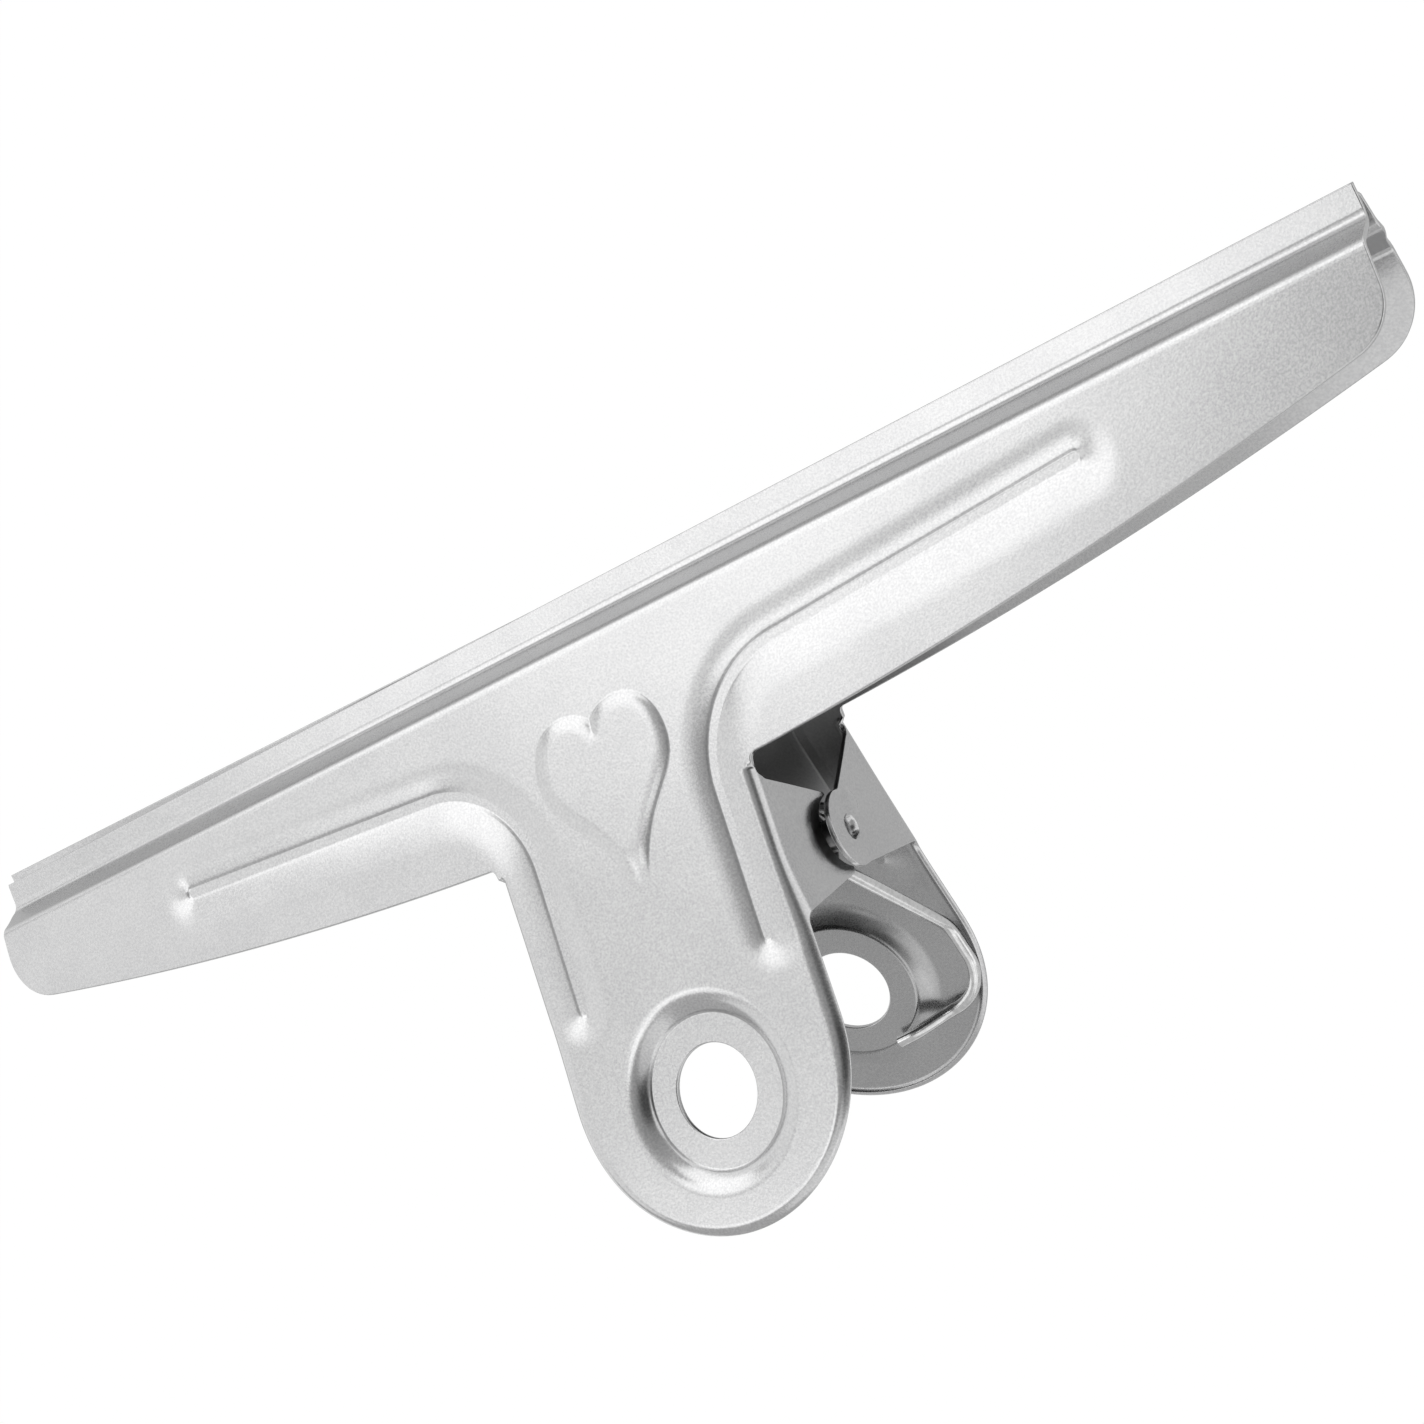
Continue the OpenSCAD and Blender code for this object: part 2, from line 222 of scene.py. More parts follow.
camera = bpy.data.objects.new("camera", bpy.data.cameras.new("camera"))
camera.data.sensor_width = CAMERA_SENSOR
camera.data.lens = CAMERA_LENS
camera.data.clip_start = CAMERA_NEAR
look = (CAMERA_AIM - CAMERA_EYE).to_track_quat("-Z", "Y").to_matrix()
camera.matrix_world = Matrix.Translation(CAMERA_EYE) @ (look @ Matrix.Rotation(CAMERA_ROLL, 3, "Z")).to_4x4()
scene.collection.objects.link(camera)
scene.camera = camera

# Plates: one stamping of nickel-plated steel sheet, used twice. It is cut flat,
# pressed with a heart, two grooves and a dished hole, and its jaw, rim and ears
# are bent up. Sizes are millimetres from the lip's edge on the flat sheet.
SHEET = 0.5
HALF_JAW = 72.5
SPLAY = math.radians(14.2)
LIP_OUT = 0.55
STEP_DROP = 2.7
STEP_Y = 4.8
LIP_H = 2.5
LIP_TAPER = 0.3
JAW_RADII = (1.2, 0.9)
PLATE_LEN = 54.5
WING_ROOT = 19.4
WING_TIP = 11.4
WING_EDGE_R = 420
WING_CORNER_R = 4
WING_STOP = 1.2
LEFT_END = 71.7
LEFT_CORNER_R = 5.4
LEFT_TOP = -5.6
LEFT_EASE = 1.5
HALF_HANDLE = 13.65
HANDLE_END = 40.85
RIM_DEPTH = 0.65
RIM_BEND_R = 2.0
RIM_INSET = 0.45
END_BEND_R = 1.0
END_INSET = -0.08
END_BLEND = (1, 10)
BEND_R = 1.25
EDGE_R = 0.12
PIVOT_Y = 27.1
NOTCH_R = 3.1
NOTCH_OFF = 0.5
NOTCH_STOP = 175
PRONG_GAP, PRONG_EDGE = 0.25, -0.3
KNEE_GAP, KNEE_EDGE = 0.5, 0.9
TONGUE_R = 3.3
TONGUE_TOP, TONGUE_LOW = 0.7, 0.5
EAR_TOP = 21.0
EAR_ROOT = (-EAR_TOP - 0.4, -1.4)
EAR_FOOT = 32.6
EAR_FOOT_DROP = 0.1
EAR_FOOT_R = 1.2
EAR_CORNER_R = 0.15
EAR_INSET = 0.45
EAR_LEAN = math.radians(4)
EAR_START = (EAR_TOP - 0.8, EAR_TOP - 0.2)
EAR_BLEND = (-EAR_FOOT - 3, -EAR_FOOT + 6)
POCKET_OUT, POCKET_LEAN, POCKET_MOUTH = 0.15, 0.1, 0.25
POCKET_RISE = (0.02, 0.75, 0.1)
POCKET_RADII = (0.75, 0.5, 0.5, 0.1)
SKEW = math.radians(0.6)
GAPE = math.radians(0.14)
TABLE_LIFT = 0.4
HOLE = (0, -42.85)
HOLE_R = 3.8
DISH_WALL = (6.25, 2.1, 0.07)
DISH_DEPTH = 1.0
HEART_WALL = (-0.45, 1.35, 0.08)
HEART_RAISE = 0.27
CREASE_SHARE = 0.1
CREASE_WIDTH = 0.3
CORNER_MOST = 0.49
cos_splay, sin_splay = math.cos(SPLAY), math.sin(SPLAY)


def smooth(x, low, high):
    t = np.clip((np.asarray(x, float) - low) / (high - low), 0, 1)
    return t * t * (3 - 2 * t)


def shoulder(x, foot, width, crease):
    """What a punch leaves: 1 up to the foot, a crisp turn there, then a slope that eases to 0 over the width."""
    x = np.asarray(x, float) - foot
    past = np.clip(x + crease, 0, 2 * crease) ** 2 / (4 * crease) + np.maximum(x - crease, 0)
    slope = (1 - np.clip(past / width, 0, 1)) ** 2
    turn = (1 - np.clip(past / CREASE_WIDTH, 0, 1)) ** 2
    return (1 - CREASE_SHARE) * slope + CREASE_SHARE * turn


def arc(middle, radius, start, stop, count):
    """Points on an arc, angles in degrees."""
    a = np.radians(np.linspace(start, stop, count))
    return np.c_[middle[0] + radius * np.cos(a), middle[1] + radius * np.sin(a)]


def spaced(points, step):
    """The same path with a point about every step."""
    points = np.asarray(points, float)
    run = np.r_[0, np.cumsum(np.linalg.norm(np.diff(points, axis=0), axis=1))]
    at = np.linspace(0, run[-1], max(2, int(round(run[-1] / step)) + 1))
    return np.c_[np.interp(at, run, points[:, 0]), np.interp(at, run, points[:, 1])]


def rounded(points, radii, step=0.25):
    """An open path with its inner corners turned to arcs."""
    points = [np.array(p, float) for p in points]
    path = [points[0]]
    for before, corner, after, radius in zip(points, points[1:], points[2:], radii):
        a = (before - corner) / np.linalg.norm(before - corner)
        b = (after - corner) / np.linalg.norm(after - corner)
        half = math.acos(np.clip(a @ b, -1, 1)) / 2
        reach = min(radius / math.tan(half), CORNER_MOST * np.linalg.norm(before - corner),
                    CORNER_MOST * np.linalg.norm(after - corner))
        count = max(3, int(reach * 2 / step))
        for s in np.linspace(0, 1, count):
            path.append((1 - s) ** 2 * (corner + a * reach) + 2 * s * (1 - s) * corner
                        + s ** 2 * (corner + b * reach))
    path.append(points[-1])
    return np.array(path)


def from_middle(y, z):
    """A point of the middle plane's frame in the plate's frame: along the plate, out of its face."""
    return np.array([y * cos_splay - (z - LIP_OUT) * sin_splay,
                     y * sin_splay + (z - LIP_OUT) * cos_splay - STEP_DROP])


def ear_flat(points, bend_start):
    """Places on a bent-up ear, moved to where they lie on the flat sheet."""
    return [(bend_start + BEND_R * math.pi / 2 - w - BEND_R, v) for v, w in points]


BEND_RIM = HALF_HANDLE - BEND_R
BEND_INNER = BEND_RIM - EAR_INSET
RIM_FLAT = BEND_RIM - RIM_INSET + RIM_BEND_R * math.acos(1 - RIM_DEPTH / RIM_BEND_R)
pivot_v, pivot_w = from_middle(-PIVOT_Y, 0)
BOSS = np.array((-(BEND_RIM + BEND_R * math.pi / 2 - BEND_R - pivot_w), pivot_v))
BOSS_DEPTH = 2.2
BOSS_FLOOR, BOSS_MOUTH, BOSS_WALL = 0.85, 1.1, 0.45
BEAD_AT = (-25.3, 1.7)
bead_v, bead_w = from_middle(*BEAD_AT)
BEAD = np.array((-(BEND_RIM + BEND_R * math.pi / 2 - BEND_R - bead_w), bead_v))
BEAD_RAISE = 0.22
BEAD_EDGE = (0.6, 1.4)


def wing_edge(half, corner_r):
    """Lower edge of the right wing, from its end at half the jaw's length to the handle."""
    root = np.array((HALF_HANDLE, -WING_ROOT))
    tip = np.array((HALF_JAW, -WING_TIP))
    chord = tip - root
    rise = math.sqrt(WING_EDGE_R ** 2 - (chord @ chord) / 4)
    middle = (root + tip) / 2 + rise * np.array((-chord[1], chord[0])) / np.linalg.norm(chord)
    corner_x = half - corner_r
    drop = math.sqrt((WING_EDGE_R - corner_r) ** 2 - (corner_x - middle[0]) ** 2)
    touch = math.degrees(math.atan2(-drop, corner_x - middle[0]))
    last = math.degrees(math.atan2(root[1] - middle[1], root[0] + WING_STOP - middle[0]))
    return np.r_[arc((corner_x, middle[1] - drop), corner_r, 0, touch, count=24),
                 arc(middle, WING_EDGE_R, touch, last, count=120)[1:]]


def inner_ear_edge():
    """Straight ear with a round notch that clears the coil."""
    top = from_middle(-PIVOT_Y + NOTCH_R + PRONG_GAP, PRONG_EDGE)
    knee = from_middle(-PIVOT_Y - NOTCH_R - KNEE_GAP, KNEE_EDGE)
    notch_w = pivot_w - NOTCH_OFF
    start = math.degrees(math.atan2(top[1] - notch_w, top[0] - pivot_v))
    notch = arc((pivot_v, notch_w), NOTCH_R, start, NOTCH_STOP, count=40)
    return [EAR_ROOT, top], notch, [knee, (-EAR_FOOT, -RIM_DEPTH)]


def outer_ear_edge():
    """Leaning ear with a round tongue on the hinge axis."""
    top = from_middle(-PIVOT_Y + TONGUE_R, TONGUE_TOP)
    low = from_middle(-PIVOT_Y - TONGUE_R, TONGUE_LOW)
    start = math.degrees(math.atan2(top[1] - pivot_w, top[0] - pivot_v))
    stop = math.degrees(math.atan2(low[1] - pivot_w, low[0] - pivot_v))
    tongue = arc((pivot_v, pivot_w), TONGUE_R, start, stop - 360 if stop > start else stop, count=48)
    return [EAR_ROOT], tongue, [(-EAR_FOOT, -RIM_DEPTH)]


def side_edge(wing, ear_edge, bend_start):
    """Right-hand edge of the flat sheet, from the jaw's end round to the handle's end."""
    before, round_part, after = ear_edge()
    pocket_x = bend_start + BEND_R + POCKET_OUT
    pocket = ((pocket_x, -WING_ROOT + POCKET_RISE[0]),
              (pocket_x - POCKET_LEAN, -EAR_TOP + POCKET_RISE[1]),
              (bend_start + BEND_R + POCKET_MOUTH, -EAR_TOP + POCKET_RISE[2]))
    ear = ear_flat(before, bend_start) + ear_flat(round_part, bend_start)
    foot = ear_flat(after, bend_start)
    foot[-1] = (RIM_FLAT, -EAR_FOOT - EAR_FOOT_DROP)
    into_ear = rounded([wing[-1], *pocket, ear[0], ear[1]], POCKET_RADII)
    foot_radii = [EAR_CORNER_R] * (len(foot) - 1) + [EAR_FOOT_R]
    out_of_ear = rounded([ear[-1], *foot, (RIM_FLAT, -HANDLE_END)], foot_radii)
    end = arc((0, -HANDLE_END), RIM_FLAT, 0, -90, count=60)
    return np.r_[wing[:-1], into_ear[:-1], np.array(ear[1:-1]), out_of_ear, end[1:]]


def jaw_profile(run, w):
    """Bends the sheet over the step to the lip; run is measured along its outer face past the foot's bend."""
    foot = np.array((-STEP_Y, 0.0))
    lip_way = np.array((cos_splay, sin_splay))
    edge = np.array((0.0, -STEP_DROP))
    low = edge - LIP_H * lip_way
    fall = (low - foot) / np.linalg.norm(low - foot)
    turns = (-math.acos(fall[0]), math.acos(fall[0]) + SPLAY)
    reach = [r * math.tan(abs(t) / 2) for r, t in zip(JAW_RADII, turns)]
    lengths = (JAW_RADII[0] * abs(turns[0]), np.linalg.norm(low - foot) - sum(reach),
               JAW_RADII[1] * abs(turns[1]), LIP_H - reach[1])
    place = np.tile(foot - (reach[0], 0), (len(run), 1))
    heading = np.zeros(len(run))
    left = np.array(run, float)
    for length, turn in zip(lengths, (turns[0], 0, turns[1], 0)):
        here = np.clip(left, 0, length)
        left = left - length
        if turn:
            angle = turn * here / length
            r = length / turn
            step = np.c_[r * np.sin(angle), r * (1 - np.cos(angle))]
        else:
            angle = np.zeros(len(run))
            step = np.c_[here, np.zeros(len(run))]
        c, s = np.cos(heading), np.sin(heading)
        place = place + np.c_[c * step[:, 0] - s * step[:, 1], s * step[:, 0] + c * step[:, 1]]
        heading = heading + angle
    normal = np.c_[-np.sin(heading), np.cos(heading)]
    return place + normal * np.asarray(w)[:, None], sum(lengths), foot[0] - reach[0]


JAW_RUN, JAW_BEND_V = jaw_profile(np.zeros(1), np.zeros(1))[1:]
LIP_FOOT = JAW_BEND_V + 4.3

GROOVE_X, GROOVE_END, GROOVE_R, GROOVE_BEND = 9.5, 33.0, 9.5, 21.0
GROOVE_TIP = np.array((47.2, -9.5))
GROOVE_FLOOR, GROOVE_INNER, GROOVE_OUTER, GROOVE_CREASE = 0.45, 2.6, 3.6, 0.07
GROOVE_DEPTH = 0.42
SINK_SHARE = 0.2
SINK_ALONG = (-28, -19)
SINK_ACROSS = (3.5, 9)
groove_middle = np.array((GROOVE_X + GROOVE_R, -GROOVE_BEND))
groove_reach = GROOVE_TIP - groove_middle
groove_lean = math.degrees(math.atan2(groove_reach[1], groove_reach[0])
                           + math.acos(GROOVE_R / np.linalg.norm(groove_reach)))
groove_line = np.r_[[(GROOVE_X, -GROOVE_END)], arc(groove_middle, GROOVE_R, 180, groove_lean, 40), [GROOVE_TIP]]


def bezier(a, b, c, d, count):
    s = np.linspace(0, 1, count)[:, None]
    a, b, c, d = (np.array(p, float) for p in (a, b, c, d))
    return (1 - s) ** 3 * a + 3 * s * (1 - s) ** 2 * b + 3 * s ** 2 * (1 - s) * c + s ** 3 * d


HEART_TOP, HEART_DIP, HEART_WIDE, HEART_TIP, HEART_HALF = -10.7, -12.25, -14.8, -25.7, 6.3
HEART_TIP_HALF = 0.4
HEART_DIP_PULL = 0.19
HEART_SIDE = ((HEART_HALF, -18.4), (1.6, -19.4))
HEART_FADE = (HEART_TIP - 0.5, HEART_TIP + 3.5)
heart_crown = (8 * HEART_TOP - HEART_DIP - HEART_WIDE) / 6
heart_right = np.r_[
    bezier((0, HEART_DIP), (HEART_DIP_PULL * HEART_HALF, heart_crown), (HEART_HALF, heart_crown),
           (HEART_HALF, HEART_WIDE), count=40),
    bezier((HEART_HALF, HEART_WIDE), *HEART_SIDE, (HEART_TIP_HALF, HEART_TIP), count=50)[1:]]
heart_line = np.r_[heart_right, heart_right[:0:-1] * (-1, 1)]


def to_path(points, path, closed=False):
    """Distance of each point to a path, which points a closed path holds, and how far to the left they are."""
    path = np.r_[path, path[:1]] if closed else path
    nearest = np.full(len(points), np.inf)
    inside = np.zeros(len(points), bool)
    left = np.zeros(len(points))
    for a, b in zip(path, path[1:]):
        way = b - a
        t = np.clip((points - a) @ way / (way @ way), 0, 1)
        distance = np.linalg.norm(points - a - t[:, None] * way, axis=1)
        across = (way[0] * (points[:, 1] - a[1]) - way[1] * (points[:, 0] - a[0])) / np.linalg.norm(way)
        left = np.where(distance < nearest, across, left)
        nearest = np.minimum(nearest, distance)
        if a[1] != b[1]:
            cross = a[0] + (points[:, 1] - a[1]) / (b[1] - a[1]) * way[0]
            inside ^= ((points[:, 1] > a[1]) != (points[:, 1] > b[1])) & (points[:, 0] < cross)
    return nearest, inside, left


def pressed(flat, inner=False):
    """How far the press moves each point of the flat sheet out of its plane."""
    out = np.zeros(len(flat))
    wall = BOSS_WALL if inner else 0
    out -= BOSS_DEPTH * (1 - smooth(np.linalg.norm(flat - BOSS, axis=1), BOSS_FLOOR + wall, BOSS_MOUTH + wall))
    out += BEAD_RAISE * (1 - smooth(np.linalg.norm(flat - BEAD, axis=1), *BEAD_EDGE))
    folded = np.c_[np.abs(flat[:, 0]), flat[:, 1]]
    distance, _, left = to_path(folded, groove_line)
    toward_middle = 0.5 + 0.5 * left / np.maximum(distance, 1e-6)
    width = GROOVE_OUTER + (GROOVE_INNER - GROOVE_OUTER) * toward_middle
    sunk = SINK_SHARE * (1 - toward_middle) * (1 - smooth(flat[:, 1], *SINK_ALONG))
    sunk = sunk * (1 - smooth(distance, *SINK_ACROSS))
    out -= GROOVE_DEPTH * (sunk + (1 - sunk) * shoulder(distance, GROOVE_FLOOR, width, GROOVE_CREASE))
    distance, inside, _ = to_path(flat, heart_line, closed=True)
    raised = 1 - shoulder(np.where(inside, distance, -distance), *HEART_WALL)
    out += HEART_RAISE * raised * smooth(flat[:, 1], *HEART_FADE)
    out -= DISH_DEPTH * shoulder(np.linalg.norm(flat - HOLE, axis=1), *DISH_WALL)
    return out


def bent(flat, w):
    """Where a point of the flat sheet lies once jaw, rim and ears are bent, in the plate's frame."""
    u, v = flat[:, 0], flat[:, 1]
    below = np.maximum(-HANDLE_END - v, 0)
    reach = np.hypot(u, below)
    way = np.c_[u, -below] / np.maximum(reach, 1e-9)[:, None]
    in_ear = smooth(v, *EAR_BLEND)
    right = u > 0
    at_end = smooth(below, *END_BLEND)
    inset = RIM_INSET + (END_INSET - RIM_INSET) * at_end
    start = BEND_RIM - inset * (1 - in_ear) - np.where(right, EAR_INSET * in_ear, 0)
    radius = RIM_BEND_R + (END_BEND_R - RIM_BEND_R) * at_end
    radius = radius + (BEND_R - radius) * in_ear
    full = (math.pi / 2 - np.where(right, 0, EAR_LEAN * in_ear)) * smooth(-v, *EAR_START)
    past = np.maximum(reach - start, 0)
    turn = np.minimum(past / radius, full)
    beyond = past - turn * radius
    outward = (radius + w) * np.sin(turn) + beyond * np.cos(turn)
    height = (radius + w) * np.cos(turn) - radius - beyond * np.sin(turn)
    shift = np.where(reach > start, outward - past, 0)
    place = np.c_[flat + way * shift[:, None], np.where(reach > start, height, w)]
    jaw = v > JAW_BEND_V
    place[jaw, 1:] = jaw_profile(v[jaw] - JAW_BEND_V, np.asarray(w)[jaw])[0]
    return place


# Rows of mesh points, as distances from the form that they follow
OUTLINE_STEP, ROW_STEP, JAW_STEP, GRID_STEP, GRID_ROW = 0.3, 0.4, 0.5, 0.8, 0.87
GRID_X, GRID_Y = (-74, 74), (-56, 3)
GROOVE_ROWS = (0.0, 0.35, 0.46, 0.57, 0.72, 0.9, 1.1, 1.35, 1.6, 1.85, 2.1, 2.5, 2.9, 3.3, 3.7)
CAP_LEAST = 0.05
HEART_ROWS = (-0.8, -0.57, -0.45, -0.33, -0.15, 0.05, 0.25, 0.45, 0.7, 1.0, 1.25)
DIP_RINGS = (0.15, 0.3, 0.45, 0.6, 0.8)
DISH_RINGS = (5.4, 5.9, 6.13, 6.25, 6.37, 6.55, 6.8, 7.1, 7.4, 7.7, 8.05, 8.4, 8.8)
BOSS_RINGS = (0.35, 0.7, 0.85, 0.92, 0.98, 1.04, 1.1, 1.2, 1.3, 1.36, 1.42, 1.48, 1.55, 1.8)
BEAD_RINGS = (0.35, 0.65, 0.85, 1.02, 1.2, 1.4, 1.65)
BEND_ROWS = np.linspace(-0.3, BEND_R * math.pi / 2 + 0.1, 14)
JAW_ROWS = np.r_[np.linspace(-0.3, 1.4, 9), np.linspace(3.7, 5.3, 9), 2.0, 2.6, 3.2, 5.9, 6.4]
BEND_TOP, BEND_LOW = -EAR_TOP + 1.2, -EAR_FOOT - 0.5
JAW_CLEAR, GROOVE_CLEAR, HEART_CLEAR = 0.6, 3.9, 1.4
DISH_MIDDLE, DISH_CLEAR = 7, 2
BEND_MIDDLE, BEND_CLEAR, BEND_CLEAR_TOP = 1.5, 2.2, -EAR_TOP + 1.5


def flat_points():
    """The cut edge, the hole's edge and the inner points of the flat sheet, closer where it is shaped."""
    jaw_top = JAW_BEND_V + JAW_RUN
    right = np.r_[[(HALF_JAW, jaw_top)],
                  side_edge(wing_edge(HALF_JAW, WING_CORNER_R), inner_ear_edge, BEND_INNER)]
    left_top = bezier((HALF_JAW, LIP_FOOT), (HALF_JAW, LIP_FOOT - LEFT_EASE),
                      (LEFT_END, LIP_FOOT - LEFT_EASE), (LEFT_END, LEFT_TOP), count=12)
    left = np.r_[[(HALF_JAW - LIP_TAPER, jaw_top)], left_top,
                 side_edge(wing_edge(LEFT_END, LEFT_CORNER_R), outer_ear_edge, BEND_RIM)] * (-1, 1)
    outline = spaced(np.r_[right[:-1], left[::-1], right[:1]], OUTLINE_STEP)[:-1][::-1]
    hole = arc(HOLE, HOLE_R, 360, 0, count=73)[:-1]
    rows = []
    for offset in GROOVE_ROWS:
        for side in (-1, 1):
            line = spaced(groove_line, ROW_STEP)
            way = np.gradient(line, axis=0)
            way /= np.linalg.norm(way, axis=1)[:, None]
            line = line + side * offset * np.c_[-way[:, 1], way[:, 0]]
            caps = [arc(groove_line[0], max(offset, CAP_LEAST), 180, 360, count=13),
                    arc(GROOVE_TIP, max(offset, CAP_LEAST), groove_lean - 180, groove_lean, count=13)]
            for path in (line, *caps):
                rows += [path, path * (-1, 1)]
    way = np.roll(heart_line, -1, 0) - np.roll(heart_line, 1, 0)
    way /= np.linalg.norm(way, axis=1)[:, None]
    for offset in HEART_ROWS:
        rows.append(heart_line + offset * np.c_[way[:, 1], -way[:, 0]])
    for middle, radii, count in (((0, HEART_DIP), DIP_RINGS, 25), (HOLE, DISH_RINGS, 145),
                                 (BOSS, BOSS_RINGS, 37), (BEAD, BEAD_RINGS, 31)):
        rows += [arc(middle, radius, 0, 360, count)[:-1] for radius in radii]
    for past in BEND_ROWS:
        half = BEND_RIM + past
        for side in (-1, 1):
            inset = EAR_INSET if side > 0 else 0
            ear = spaced([(half - inset, BEND_TOP), (half - inset, -EAR_FOOT)], ROW_STEP)
            low = half - RIM_INSET
            rim = spaced([(low, BEND_LOW), (low, -HANDLE_END)], ROW_STEP)
            end = spaced(arc((0, -HANDLE_END), low, 0, -90, count=40), ROW_STEP)
            rows.append(np.r_[ear, rim, end] * (side, 1))
    for run in JAW_ROWS:
        rows.append(spaced([(-HALF_JAW, JAW_BEND_V + run), (HALF_JAW, JAW_BEND_V + run)], JAW_STEP))
    grid = np.array([(x + (i % 2) * GRID_STEP / 2, y)
                     for i, y in enumerate(np.arange(*GRID_Y, GRID_STEP * GRID_ROW))
                     for x in np.arange(*GRID_X, GRID_STEP)])
    shaped = grid[:, 1] > JAW_BEND_V - JAW_CLEAR
    shaped |= to_path(np.c_[np.abs(grid[:, 0]), grid[:, 1]], groove_line)[0] < GROOVE_CLEAR
    shaped |= to_path(grid, heart_line, closed=True)[0] < HEART_CLEAR
    shaped |= np.abs(np.linalg.norm(grid - HOLE, axis=1) - DISH_MIDDLE) < DISH_CLEAR
    past = np.hypot(grid[:, 0], np.maximum(-HANDLE_END - grid[:, 1], 0)) - BEND_INNER
    shaped |= (np.abs(past - BEND_MIDDLE) < BEND_CLEAR) & (grid[:, 1] < BEND_CLEAR_TOP)
    rows.append(grid[~shaped])
    return outline, hole, rows


def face_normals(flat, inner=False):
    """True normals of the formed sheet, so that light runs smoothly over its bends."""
    def formed(du, dv):
        moved = flat + (du, dv)
        return bent(moved, pressed(moved, inner) - (SHEET if inner else 0))
    h = 0.02
    normal = np.cross(formed(h, 0) - formed(-h, 0), formed(0, h) - formed(0, -h))
    return normal / np.linalg.norm(normal, axis=1)[:, None] * (-1 if inner else 1)


def to_middle(place):
    """Turns places from the plate's frame into the middle plane's."""
    return np.c_[place[:, 0],
                 place[:, 1] * cos_splay + (place[:, 2] + STEP_DROP) * sin_splay,
                 -place[:, 1] * sin_splay + (place[:, 2] + STEP_DROP) * cos_splay + LIP_OUT]


# Limits of the mesh, and the painted shade: how far the plating's colour is darkened, and its roughness raised, in
# the jaw's step and inside
MOST_POINTS, LONG_ROW = 60000, 4000
LEAST_APART, HOLE_CLEAR = 0.1, 0.2
STEP_SHADE_AND_DULL, STEP_FROM, STEP_TO = 0.48, (0.3, 1.0), (3.8, 4.6)
INNER_SHADE_AND_DULL, INNER_ENDS = 0.45, (52, 68)
RECESS_SHADE_AND_DULL, RECESS_SIDES, RECESS_LOW = 0.55, (22, 30), (-29, -23)


def stamping():
    """One closed shell: outer face, inner face and rounded cut edges, as points, normals and polygons."""
    outline, hole, rows = flat_points()
    loops = []
    for loop in (outline, hole):
        way = np.roll(loop, -1, 0) - np.roll(loop, 1, 0)
        way /= np.linalg.norm(way, axis=1)[:, None]
        loops.append((loop, np.c_[way[:, 1], -way[:, 0]]))
    points = np.concatenate([loop - EDGE_R * out for loop, out in loops])
    taken = KDTree(MOST_POINTS)
    count = 0
    for p in points:
        taken.insert((*p, 0), count)
        count += 1
    taken.balance()
    kept = []
    for row in rows:
        inside = to_path(row, outline, closed=True)[1]
        fresh = [p for p in row[inside & (np.linalg.norm(row - HOLE, axis=1) > HOLE_R + HOLE_CLEAR)]
                 if taken.find((*p, 0))[2] > LEAST_APART]
        kept += fresh
        if len(row) < LONG_ROW:
            for p in fresh:
                taken.insert((*p, 0), count)
                count += 1
            taken.balance()
    flat = np.r_[points, np.array(kept)]
    edges = []
    first = 0
    for loop, _ in loops:
        edges += [(first + i, first + (i + 1) % len(loop)) for i in range(len(loop))]
        first += len(loop)
    cut = delaunay_2d_cdt([Vector(p) for p in flat], edges, [], 2, 1e-6)
    vertices = np.array([tuple(v) for v in cut[0]])
    index = {old: new for new, olds in enumerate(cut[3]) for old in olds}
    rim = {index[i] for i in range(len(outline), len(points))}
    faces = [tuple(f) for f in cut[2] if not rim.issuperset(f)]
    places = [bent(vertices, pressed(vertices)), bent(vertices, pressed(vertices, inner=True) - SHEET)]
    polygons = faces + [tuple(len(vertices) + i for i in reversed(f)) for f in faces]
    total = 2 * len(vertices)
    first = 0
    corner = np.radians((30, 60, 90))
    section = [(EDGE_R * math.sin(a) - EDGE_R, EDGE_R * math.cos(a) - EDGE_R) for a in corner]
    section += [(a, -SHEET - w) for a, w in reversed(section)]
    for loop, out in loops:
        size = len(loop)
        ring = [[index[first + i] for i in range(size)]]
        lift = pressed(loop)
        for a, w in section:
            places.append(bent(loop + a * out, lift + w))
            ring.append(list(range(total, total + size)))
            total += size
        ring.append([len(vertices) + i for i in ring[0]])
        for upper, lower in zip(ring, ring[1:]):
            for i in range(size):
                j = (i + 1) % size
                polygons.append((upper[j], upper[i], lower[i], lower[j]))
        first += size
    place = np.concatenate(places)
    # Painted shade: the colour is darkened on the jaw's step and over the inner faces, most towards their middle,
    # where shade falls; roughness rises there too.
    shade_and_dull = np.zeros(len(place))
    off = np.abs(vertices[:, 0])
    recess = (1 - smooth(off, *RECESS_SIDES)) * smooth(vertices[:, 1], *RECESS_LOW)
    run = vertices[:, 1] - JAW_BEND_V
    shade_and_dull[:len(vertices)] = STEP_SHADE_AND_DULL * smooth(run, *STEP_FROM) * (1 - smooth(run, *STEP_TO))
    shade_and_dull[len(vertices):2 * len(vertices)] = INNER_SHADE_AND_DULL * (1 - smooth(off, *INNER_ENDS)) + RECESS_SHADE_AND_DULL * recess
    normal = np.zeros(place.shape)
    normal[:2 * len(vertices)] = np.r_[face_normals(vertices), face_normals(vertices, inner=True)]
    return to_middle(place), to_middle(place + normal), shade_and_dull, polygons


def front_on_table(middle):
    """The clip lies on its rear plate, so the middle plane is tilted by the splay."""
    lift = STEP_DROP + LIP_OUT * cos_splay + TABLE_LIFT
    return np.c_[middle[:, 0],
                 middle[:, 1] * cos_splay + middle[:, 2] * sin_splay + PLATE_LEN / 2,
                 -middle[:, 1] * sin_splay + middle[:, 2] * cos_splay + lift]


